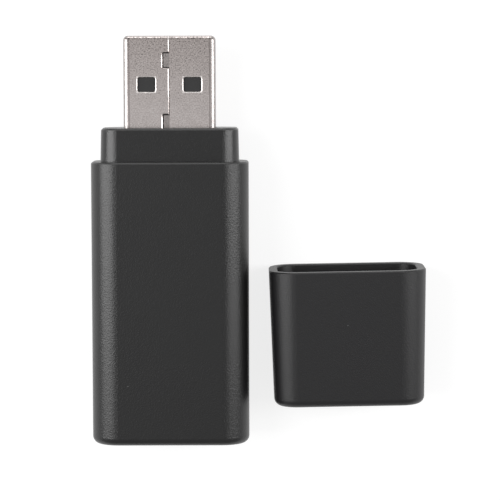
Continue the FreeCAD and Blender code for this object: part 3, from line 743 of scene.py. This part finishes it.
@dataclass
class Plug(SubAssembly):
    """Metal shell, insulator and contacts of the plug."""

    length: float = 18.75 * MM
    sheet: float = 0.30 * MM
    corner: float = 0.60 * MM
    window_width: float = 2.30 * MM
    window_length: float = 1.90 * MM
    window_corner: float = 0.30 * MM
    window_spacing: float = 6.00 * MM
    window_setback: float = 5.40 * MM
    window_roll: float = 0.15 * MM
    seam: float = 0.03 * MM
    seam_roll: float = 0.20 * MM
    notch_width: float = 0.85 * MM
    notch_length: float = 2.00 * MM
    notch_corner: float = 0.15 * MM
    notch_setbacks: tuple[float, float] = (2.20 * MM, 10.25 * MM)
    tab_recess: float = 0.14 * MM
    tab_gap: float = 0.11 * MM
    rim_width: float = 0.16 * MM
    leg_width: float = 1.80 * MM
    leg_middle: float = 6.45 * MM
    foot_length: float = 2.10 * MM
    # Inset and width of the painted shade lines along the folds
    fold_shade_inset: float = 0.74 * MM
    fold_shade_width: float = 0.24 * MM
    dulled_length: float = 10.0 * MM
    fold_segments: int = 8
    punch_segments: int = 6
    roll_segments: int = 4

    def __post_init__(self) -> None:
        """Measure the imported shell, whose box the new one fills."""
        self.low, self.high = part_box("usb_shell")
        self.back = self.high.y - self.length
        self.window_top = self.high.y - self.window_setback

    def build(self) -> None:
        """Build the shell and dress the plug's other pieces."""
        self.fit(self.shell(), self.shell_finish(), "usb_shell", "plug_steel")
        self.dress(
            Finish("matt_black_insulator", colour=(0.009, 0.009, 0.0095), roughness=0.5),
            ["usb_insulator"],
        )
        self.dress(
            self.contact_finish(),
            ["power_contact", "data_minus_contact", "data_plus_contact", "ground_contact"],
        )

    def contact_finish(self) -> Finish:
        """Gold on the contact faces and tin on the feet, with a clear edge between them.

        Returns:
            The finish.
        """
        low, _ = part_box("ground_contact")
        feet = Zone(
            low=(-FAR, low.y, -FAR), high=(FAR, low.y + self.foot_length, FAR), **TINNED
        )
        return Finish(
            "gold_plate",
            colour=(0.86, 0.62, 0.28),
            roughness=0.25,
            metallic=1.0,
            spots=0.05,
            clouds=0.08,
            cloud_size=1.5 * MM,
            grain_height=0.0008 * MM,
            zones=(feet,),
        )

    def shell_finish(self) -> Finish:
        """Nickel on sheet metal, with a tumbled grain, duller at the tip and along the folds, with
        painted shade in lines along the folds and on the sunk tabs.

        Returns:
            The finish.
        """
        dull = Zone(
            low=(-FAR, self.high.y - self.notch_setbacks[1], -FAR),
            high=(FAR, FAR, FAR),
            colour=(0.57, 0.51, 0.49),
            roughness=0.27,
            metallic=1.0,
            softness=self.dulled_length,
            mottle=2.5,
        )
        return Finish(
            "nickel_plated_sheet",
            colour=(0.83, 0.757, 0.738),
            roughness=0.23,
            metallic=1.0,
            spot_size=0.18 * MM,
            cloud_size=1.3 * MM,
            spots=0.38,
            clouds=0.09,
            roughness_change=0.04,
            pit_size=0.24 * MM,
            grain_height=0.0012 * MM,
            zones=(
                dull,
                *self.painted_fold_shade(),
                *self.worn_edges(),
                *self.punched_edges(),
                *self.painted_tab_shade(),
            ),
        )

    def painted_fold_shade(self) -> list[Zone]:
        """Painted shade: dark lines along the inner side of the folds, where the bending sheet
        reflects little light.
        """
        half = self.fold_shade_width / 2
        return [
            Zone(
                low=(middle - half, self.low.y, -FAR),
                high=(middle + half, self.high.y - self.rim_width, FAR),
                colour=(0.30, 0.265, 0.255),
                roughness=0.30,
                metallic=1.0,
                softness=half,
            )
            for middle in (self.fold_shade_inset - self.high.x, self.high.x - self.fold_shade_inset)
        ]

    def punched_edges(self) -> list[Zone]:
        """Burnished edges along the left side of the seam and round the windows."""
        burnished = {
            "colour": (0.84, 0.79, 0.77), "roughness": 0.38, "metallic": 1.0, "mottle": 0.2
        }
        zones = [
            Zone(
                low=(-self.seam / 2 - self.seam_roll, self.low.y, self.high.z - self.sheet),
                high=(-self.seam / 4, FAR, FAR),
                **burnished,
            )
        ]
        top = self.window_top + self.window_roll
        bottom = top - self.window_length - 2 * self.window_roll
        reach = self.window_width / 2 + self.window_roll
        for middle in (-self.window_spacing / 2, self.window_spacing / 2):
            zones.append(
                Zone(
                    low=(middle - reach, bottom, -FAR), high=(middle + reach, top, FAR), **burnished
                )
            )
        return zones

    def worn_edges(self) -> list[Zone]:
        """Smooth edges at the tip and along the folds, where the plug rubs in its socket."""
        worn = {"roughness": 0.34, "metallic": 1.0, "mottle": 0.2}
        rubbed = {"colour": (0.40, 0.37, 0.36), **worn}
        rim = Zone(
            low=(-FAR, self.high.y - self.rim_width, -FAR),
            high=(FAR, FAR, FAR),
            colour=(0.50, 0.46, 0.45),
            **worn,
        )
        outer, inner = self.high.x + self.sheet, self.high.x - self.corner
        folds = [
            Zone(low=(left, self.low.y, -FAR), high=(right, FAR, FAR), **rubbed)
            for left, right in ((-outer, -inner), (inner, outer))
        ]
        return [rim, *folds]

    def painted_tab_shade(self) -> list[Zone]:
        """Painted shade: darker nickel on the tabs sunk in the notches, standing in for the shade
        that falls in the recess.
        """
        left, floor = -self.notch_width - self.sheet, self.high.z - 2 * self.sheet
        return [
            Zone(
                low=(left, self.high.y - setback - self.notch_length, floor),
                high=(self.sheet, self.high.y - setback, self.high.z - self.tab_recess / 2),
                colour=(0.36, 0.33, 0.32),
                roughness=0.36,
                metallic=1.0,
            )
            for setback in self.notch_setbacks
        ]

    def shell(self) -> Workpiece:
        """Fold the sheet into a tube that draws in at both ends, punch it and roll its edges.

        Returns:
            The finished shell.
        """
        tip = self.high.y
        shell = Workpiece("plug_shell", (self.low.x, self.back, self.low.z), self.high)
        shell.bevel(self.corner, self.fold_segments, anywhere)
        for place in (self.back, tip):
            shell.select(Element.FACE, across(Axis.Y, place))
            shell.edit(bpy.ops.mesh.delete, type="FACE")
        shell.modify("SOLIDIFY", thickness=self.sheet, offset=-1.0, use_even_offset=True)
        for side in (-1, 1):
            shell.combine(self.window(side), Merge.CUT)
        shell.combine(self.gap(), Merge.CUT)
        for setback in self.notch_setbacks:
            shell.combine(self.notch(tip - setback), Merge.CUT)
        self.roll_edges(shell)
        for setback in self.notch_setbacks:
            shell.combine(self.tab(tip - setback), Merge.FUSE)
        for side in (-1, 1):
            shell.combine(self.leg(side), Merge.FUSE)
        shell.smooth()
        return shell

    def tab(self, top: float) -> Workpiece:
        """Tab of the right flap that lies a little sunk in a notch of the left one.

        Args:
            top: The notch's end towards the tip.

        Returns:
            The tab.
        """
        edge = -self.seam / 2 - self.notch_width
        return Workpiece(
            "seam_tab",
            (
                edge + self.tab_gap,
                top - self.notch_length + self.tab_gap,
                self.high.z - self.sheet,
            ),
            (
                self.seam / 2 + self.sheet / 2,
                top - self.tab_gap,
                self.high.z - self.tab_recess,
            ),
        )

    def leg(self, side: int) -> Workpiece:
        """Solder leg that grips the board's edge.

        Args:
            side: -1 for the left leg, 1 for the right one.

        Returns:
            The leg.
        """
        outer, inner = side * self.high.x, side * (self.high.x - self.sheet)
        half = self.leg_width / 2
        return Workpiece(
            "solder_leg",
            (min(outer, inner), self.low.y, self.leg_middle - half),
            (max(outer, inner), self.back + self.corner, self.leg_middle + half),
        )

    def window(self, side: int) -> Workpiece:
        """Punch that cuts the windows of one side through both walls.

        Args:
            side: -1 for the left pair, 1 for the right pair.

        Returns:
            The punch.
        """
        middle, half = side * self.window_spacing / 2, self.window_width / 2
        bottom = self.window_top - self.window_length
        punch = Workpiece(
            "window_punch",
            (middle - half, bottom, self.low.z - self.sheet),
            (middle + half, self.window_top, self.high.z + self.sheet),
        )
        punch.bevel(self.window_corner, self.punch_segments, along(Axis.Z, self.sheet))
        return punch

    def gap(self) -> Workpiece:
        """Cutter for the seam along the middle of the front wall."""
        return Workpiece(
            "seam_cutter",
            (-self.seam / 2, self.back - self.sheet, self.high.z - 2 * self.sheet),
            (self.seam / 2, self.high.y + self.sheet, self.high.z + self.sheet),
        )

    def notch(self, top: float) -> Workpiece:
        """Punch for a notch beside the seam, with a round corner at its far side.

        Args:
            top: The notch's end towards the tip.

        Returns:
            The punch.
        """
        edge = -self.seam / 2 - self.notch_width
        punch = Workpiece(
            "notch_punch",
            (edge, top - self.notch_length, self.high.z - 2 * self.sheet),
            (0.0, top, self.high.z + self.sheet),
        )

        upright = along(Axis.Z, self.sheet)
        punch.bevel(
            self.notch_corner,
            self.roll_segments,
            lambda ends: upright(ends) and abs(ends[0].x - edge) < self.tab_gap,
        )
        return punch

    def roll_edges(self, shell: Workpiece) -> None:
        """Round the punched edges as the press leaves them.

        Args:
            shell: The shell's mesh.
        """
        near = 0.004 * MM
        low, high = self.low, self.high
        reach = (self.window_spacing + self.window_width) / 2 + near
        inner = (self.window_spacing - self.window_width) / 2 - near
        top = self.window_top + near
        bottom = top - self.window_length - 2 * near

        def on_face(ends: list[Vector]) -> bool:
            return all(min(abs(end.z - low.z), abs(end.z - high.z)) < near for end in ends)

        def of_window(ends: list[Vector]) -> bool:
            return on_face(ends) and all(
                inner < abs(end.x) < reach and bottom < end.y < top for end in ends
            )

        def of_left_flap(ends: list[Vector]) -> bool:
            edge = -self.seam / 2 - self.notch_width - near
            return on_face(ends) and all(
                edge < end.x < near - self.seam / 2 and end.z > low.z + self.sheet for end in ends
            )

        shell.bevel(self.window_roll, self.roll_segments, of_window)
        shell.bevel(self.seam_roll, self.roll_segments, of_left_flap)


@dataclass
class Board(SubAssembly):
    """Circuit board and the parts on it."""

    laminate_rim: float = 0.03 * MM
    pad_width: float = 1.30 * MM
    pad_length: float = 2.30 * MM
    pad_places: tuple[float, ...] = (-3.5 * MM, -1.0 * MM, 1.0 * MM, 3.5 * MM)
    trace_width: float = 0.30 * MM
    keep_out: float = 4.80 * MM
    terminal_length: float = 0.33 * MM
    radio_body: float = 5.00 * MM
    memory_body: float = 3.90 * MM
    regulator_body: float = 1.60 * MM
    diode_body: float = 1.25 * MM
    mark_size: float = 0.50 * MM
    lid_rim: float = 0.25 * MM
    lid_rise: float = 0.24 * MM

    def build(self) -> None:
        """Dress the board and its parts."""
        self.dress(self.board_finish(), ["circuit_board"])
        self.dress(
            Finish(
                "etched_copper",
                colour=(0.80, 0.55, 0.25),
                roughness=0.3,
                metallic=1.0,
                clouds=0.12,
                grain_height=0.001 * MM,
            ),
            ["antenna_trace"],
        )
        self.dress(self.radio_finish(), ["radio_chip"])
        for node, width in (
            ("memory_chip", self.memory_body),
            ("voltage_regulator", self.regulator_body),
            ("protection_diode", self.diode_body),
        ):
            finish = self.two_ended(f"epoxy_{node}", (0.028, 0.028, 0.030), 0.55, node, width)
            self.dress(finish, [node])
        for node, colour, roughness in (
            ("bulk_capacitor", (0.36, 0.25, 0.15), 0.42),
            ("ceramic_capacitors", (0.42, 0.31, 0.20), 0.45),
            ("ferrite_bead", (0.050, 0.048, 0.050), 0.48),
            ("resistors", (0.030, 0.030, 0.034), 0.32),
        ):
            self.dress(self.two_ended(f"fired_{node}", colour, roughness, node), [node])
        self.dress(self.crystal_finish(), ["crystal"])

    def board_finish(self) -> Finish:
        """Green solder mask over copper, with bare pads and laminate at the edge.

        Returns:
            The finish.
        """
        low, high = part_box("circuit_board")
        rim = self.laminate_rim
        underside = low.z + rim
        green = {"colour": (0.030, 0.19, 0.085), "roughness": 0.30}
        zones = [
            Zone(
                low=(-FAR, low.y - rim, -FAR),
                high=(FAR, low.y + self.keep_out, FAR),
                colour=(0.035, 0.15, 0.070),
                roughness=0.34,
            )
        ]
        for place in self.pad_places:
            zones.append(
                Zone(
                    low=(place - self.trace_width / 2, low.y + self.keep_out, -FAR),
                    high=(place + self.trace_width / 2, high.y - self.pad_length, FAR),
                    **green,
                )
            )
            zones.append(
                Zone(
                    low=(place - self.pad_width / 2, high.y - self.pad_length, -FAR),
                    high=(place + self.pad_width / 2, high.y - rim, underside),
                    **TINNED,
                )
            )
        zones.append(
            Zone(
                low=(low.x + rim, low.y + rim, -FAR),
                high=(high.x - rim, high.y - rim, FAR),
                colour=(0.40, 0.36, 0.20),
                roughness=0.55,
                softness=rim / 3,
                outside=True,
            )
        )
        return Finish(
            "solder_mask",
            colour=(0.014, 0.115, 0.048),
            roughness=0.26,
            spots=0.06,
            clouds=0.10,
            grain_height=0.002 * MM,
            zones=tuple(zones),
        )

    def radio_finish(self) -> Finish:
        """Moulded package with tinned pads round it and a mark at its first pad.

        Returns:
            The finish.
        """
        low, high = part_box("radio_chip")
        proud = (high.x - low.x - self.radio_body) / 2
        pads = Zone(
            low=(low.x + proud, low.y + proud, -FAR),
            high=(high.x - proud, high.y - proud, FAR),
            softness=proud / 4,
            outside=True,
            **TINNED,
        )
        mark = Zone(
            low=(low.x + self.mark_size, high.y - 2 * self.mark_size, -FAR),
            high=(low.x + 2 * self.mark_size, high.y - self.mark_size, low.z + proud),
            colour=(0.10, 0.10, 0.10),
            roughness=0.40,
        )
        return Finish(
            "epoxy_radio_chip", colour=(0.028, 0.028, 0.030), roughness=0.5, zones=(pads, mark)
        )

    def two_ended(
        self, name: str, colour: Colour, roughness: float, node: str, width: float = 0.0
    ) -> Finish:
        """Body between tinned ends or leads along X.

        Args:
            name: The finish's name.
            colour: The body's colour.
            roughness: The body's roughness.
            node: The piece that it is for.
            width: The body's width, or nothing for a chip with wrapped terminals.

        Returns:
            The finish.
        """
        low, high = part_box(node)
        half = width / 2 if width else (high.x - low.x) / 2 - self.terminal_length
        middle = (low.x + high.x) / 2
        ends = Zone(
            low=(middle - half, -FAR, -FAR),
            high=(middle + half, FAR, FAR),
            outside=True,
            **TINNED,
        )
        return Finish(name, colour=colour, roughness=roughness, spots=0.14, zones=(ends,))

    def crystal_finish(self) -> Finish:
        """Ceramic tray with a welded metal lid.

        Returns:
            The finish.
        """
        low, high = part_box("crystal")
        rim = self.lid_rim - self.laminate_rim
        lid = Zone(
            low=(low.x + rim, low.y + rim, low.z - rim),
            high=(high.x - rim, high.y - rim, low.z + self.lid_rise),
            colour=(0.62, 0.60, 0.55),
            roughness=0.32,
            metallic=1.0,
        )
        return Finish("ceramic_tray", colour=(0.13, 0.11, 0.10), roughness=0.5, zones=(lid,))


@dataclass
class Lamp:
    """A soft rectangular lamp, with its tilt off the upright and its turn from +X in degrees."""

    name: str
    tilt: float
    turn: float
    away: float
    width: float
    height: float
    radiance: float

    def build(self, aim: Vector) -> bpy.types.Object:
        """Hang the lamp.

        Args:
            aim: The point that it faces.

        Returns:
            The lamp's object.
        """
        tilt, turn = math.radians(self.tilt), math.radians(self.turn)
        flat = math.sin(tilt)
        ray = Vector((flat * math.cos(turn), flat * math.sin(turn), math.cos(tilt)))
        bpy.ops.object.light_add(type="AREA", location=aim + ray * self.away)
        lamp = bpy.context.object
        lamp.name = self.name
        lamp.rotation_euler = ray.to_track_quat("Z", "Y").to_euler()
        lamp.data.shape = "RECTANGLE"
        lamp.data.size = self.width
        lamp.data.size_y = self.height
        lamp.data.energy = self.radiance * math.pi * self.width * self.height
        return lamp


@dataclass
class Stage:
    """White table, soft surroundings, lamps and the camera."""

    table_size: float = 3.0
    table_gap: float = 0.02 * MM
    table_tone: float = 0.25
    table_glow: float = 0.80
    surroundings: float = 0.42
    lamp_shift: float = 60.0 * MM
    focal_length: float = 164.0
    sensor_width: float = 36.0
    camera_place: tuple[float, float, float] = (10.44 * MM, 31.0 * MM, 304.9 * MM)
    camera_aim: tuple[float, float, float] = (10.44 * MM, 6.74 * MM, 5.5 * MM)
    camera_roll: float = 0.16

    def build(self) -> None:
        """Set up everything round the object."""
        self.table()
        self.world()
        aim = Vector((self.camera_aim[0], self.camera_aim[1] + self.lamp_shift, 0.0))
        for lamp in (
            Lamp("left_softbox", tilt=48, turn=180, away=0.5, width=0.27, height=0.5, radiance=5.4),
            Lamp("right_softbox", tilt=50, turn=0, away=0.5, width=0.15, height=0.5, radiance=6.2),
            Lamp("far_softbox", tilt=78, turn=90, away=0.6, width=0.5, height=0.2, radiance=2.4),
        ):
            lamp.build(aim)
        self.camera()
        bpy.context.scene.view_settings.view_transform = "Standard"

    def table(self) -> bpy.types.Object:
        """Lay the table that the object rests on.

        Returns:
            The table's object.
        """
        bpy.ops.object.select_all(action="DESELECT")
        bpy.ops.mesh.primitive_plane_add(size=self.table_size, location=(0, 0, -self.table_gap))
        table = bpy.context.object
        table.name = "table"
        material = bpy.data.materials.new("white_table")
        material.use_nodes = True
        sheet = NodeSheet(material.node_tree)
        path = sheet.add("ShaderNodeLightPath")
        seen = sheet.maths("MAXIMUM", path.outputs["Is Camera Ray"], path.outputs["Is Glossy Ray"])
        seen = sheet.maths("MAXIMUM", seen, path.outputs["Is Transmission Ray"])
        paper = sheet.add("ShaderNodeBsdfDiffuse")
        paper.inputs["Color"].default_value = (*[self.table_tone] * 3, 1.0)
        glow = sheet.add("ShaderNodeEmission")
        sheet.join(sheet.maths("MULTIPLY", seen, self.table_glow), glow.inputs["Strength"])
        both = sheet.add("ShaderNodeAddShader")
        sheet.join(paper.outputs["BSDF"], both.inputs[0])
        sheet.join(glow.outputs["Emission"], both.inputs[1])
        output = sheet.add("ShaderNodeOutputMaterial")
        sheet.join(both.outputs["Shader"], output.inputs["Surface"])
        table.data.materials.append(material)
        return table

    def world(self) -> None:
        """Surround the object with an even pale light, white where the camera sees it."""
        world = bpy.data.worlds.new("pale_room")
        world.use_nodes = True
        bpy.context.scene.world = world
        sheet = NodeSheet(world.node_tree)
        path = sheet.add("ShaderNodeLightPath")
        room = sheet.add("ShaderNodeBackground")
        sheet.feed(room, Color=(1.0, 1.0, 1.0, 1.0), Strength=self.surroundings)
        white = sheet.add("ShaderNodeBackground")
        sheet.feed(white, Color=(1.0, 1.0, 1.0, 1.0), Strength=1.0)
        mix = sheet.add("ShaderNodeMixShader")
        sheet.join(path.outputs["Is Camera Ray"], mix.inputs[0])
        sheet.join(room.outputs["Background"], mix.inputs[1])
        sheet.join(white.outputs["Background"], mix.inputs[2])
        output = sheet.add("ShaderNodeOutputWorld")
        sheet.join(mix.outputs["Shader"], output.inputs["Surface"])

    def camera(self) -> bpy.types.Object:
        """Place the camera almost straight above the object.

        Returns:
            The camera's object.
        """
        place, aim = Vector(self.camera_place), Vector(self.camera_aim)
        roll = math.radians(self.camera_roll)
        away = (place - aim).normalized()
        right = Vector((math.sin(roll), math.cos(roll), 0.0)).cross(away).normalized()
        turn = Matrix((right, away.cross(right), away)).transposed()
        bpy.ops.object.camera_add(location=place, rotation=turn.to_euler())
        camera = bpy.context.object
        camera.name = "camera"
        camera.data.lens = self.focal_length
        camera.data.sensor_width = self.sensor_width
        camera.data.clip_start = 0.01
        camera.data.clip_end = 10.0
        camera.data.dof.use_dof = False
        bpy.context.scene.camera = camera
        return camera


def main() -> None:
    """Build the stage, then dress the object one sub-assembly after the other."""
    logging.basicConfig(level=logging.INFO, format="%(name)s: %(message)s")
    effects = EffectLibrary()
    Stage().build()
    for part in (Housing(effects), Cap(effects), Plug(effects), Board(effects)):
        part.build()
        log.info("finished %s", type(part).__name__)


if __name__ == "__main__":
    main()
